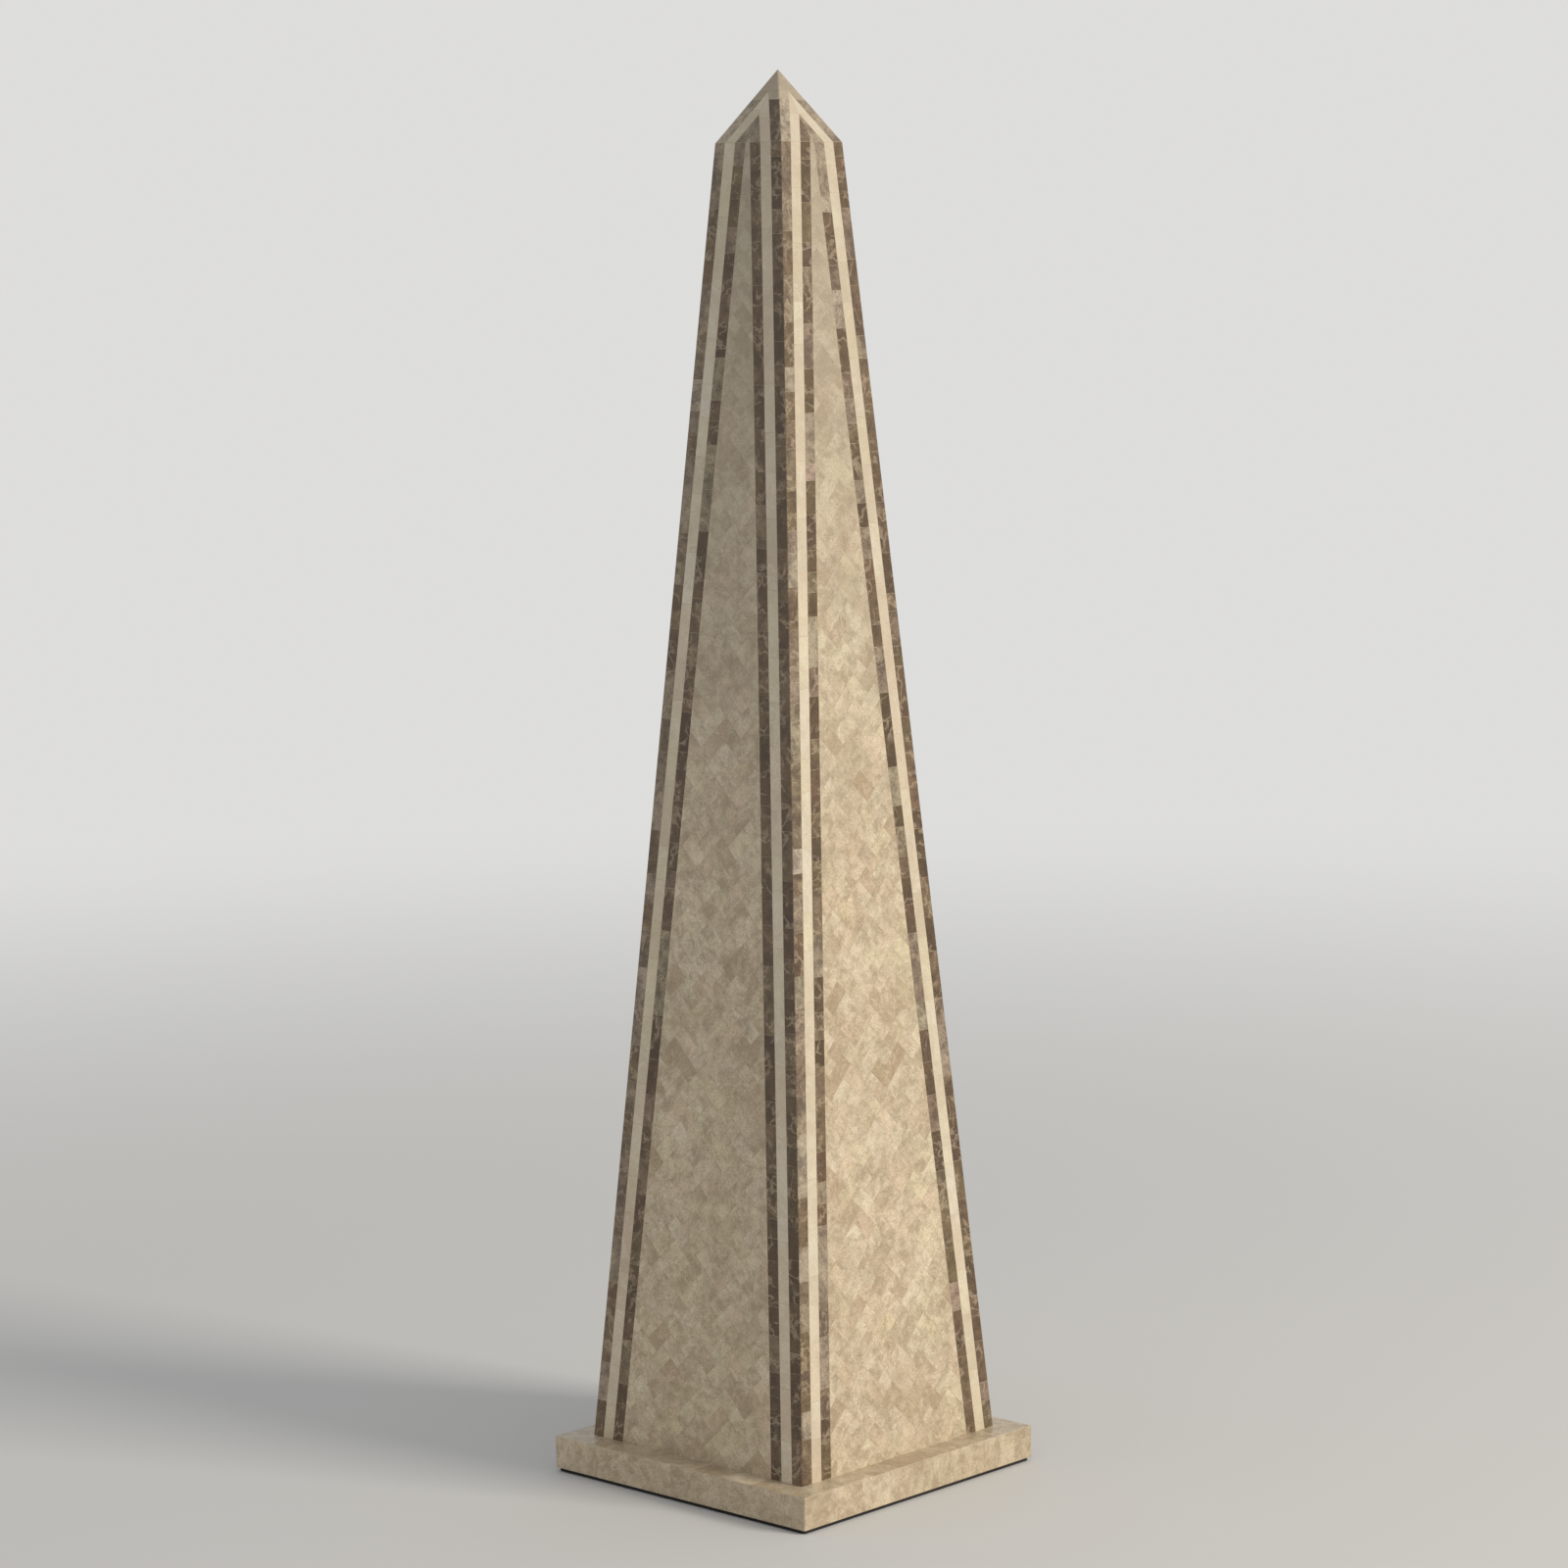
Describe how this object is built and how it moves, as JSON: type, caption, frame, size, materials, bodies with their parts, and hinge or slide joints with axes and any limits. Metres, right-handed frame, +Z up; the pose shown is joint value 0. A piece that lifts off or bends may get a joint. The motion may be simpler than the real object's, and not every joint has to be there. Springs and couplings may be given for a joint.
{
  "type": "tessellated stone floor obelisk",
  "caption": "Free-standing decorative obelisk: a tapered square shaft with a pyramid cap on a flat square plinth, veneered in beige, cream and brown stone over wood.",
  "frame": {"origin": "centre of the underside of the base pad, on the floor", "axes": "+Z up along the shaft's axis to the tip; -Y is the front face and the four faces are square to X and Y"},
  "size_m": [0.305, 0.305, 1.25],
  "materials": {
    "beige_stone": "honed, satin",
    "cream_stone": "honed, satin",
    "brown_stone": "honed, satin",
    "plywood": "bare, sanded",
    "pad_felt": "matte felt"
  },
  "bodies": {
    "root": {"base_pad": "pad_felt", "plinth_board": "plywood", "cap_block": "plywood", "front_board": "plywood", "front_field": "beige_stone", "front_inner_strips": "brown_stone", "front_cream_strips": "cream_stone", "front_corner_strips": "brown_stone", "front_cap_centre": "brown_stone", "front_cap_band": "cream_stone", "front_cap_border": "brown_stone", "front_plinth_top": "beige_stone", "front_plinth_edge": "beige_stone", "right_board": "plywood", "right_field": "beige_stone", "right_inner_strips": "brown_stone", "right_cream_strips": "cream_stone", "right_corner_strips": "brown_stone", "right_cap_centre": "brown_stone", "right_cap_band": "cream_stone", "right_cap_border": "brown_stone", "right_plinth_top": "beige_stone", "right_plinth_edge": "beige_stone", "back_board": "plywood", "back_field": "beige_stone", "back_inner_strips": "brown_stone", "back_cream_strips": "cream_stone", "back_corner_strips": "brown_stone", "back_cap_centre": "brown_stone", "back_cap_band": "cream_stone", "back_cap_border": "brown_stone", "back_plinth_top": "beige_stone", "back_plinth_edge": "beige_stone", "left_board": "plywood", "left_field": "beige_stone", "left_inner_strips": "brown_stone", "left_cream_strips": "cream_stone", "left_corner_strips": "brown_stone", "left_cap_centre": "brown_stone", "left_cap_band": "cream_stone", "left_cap_border": "brown_stone", "left_plinth_top": "beige_stone", "left_plinth_edge": "beige_stone"}
  },
  "joints": []
}
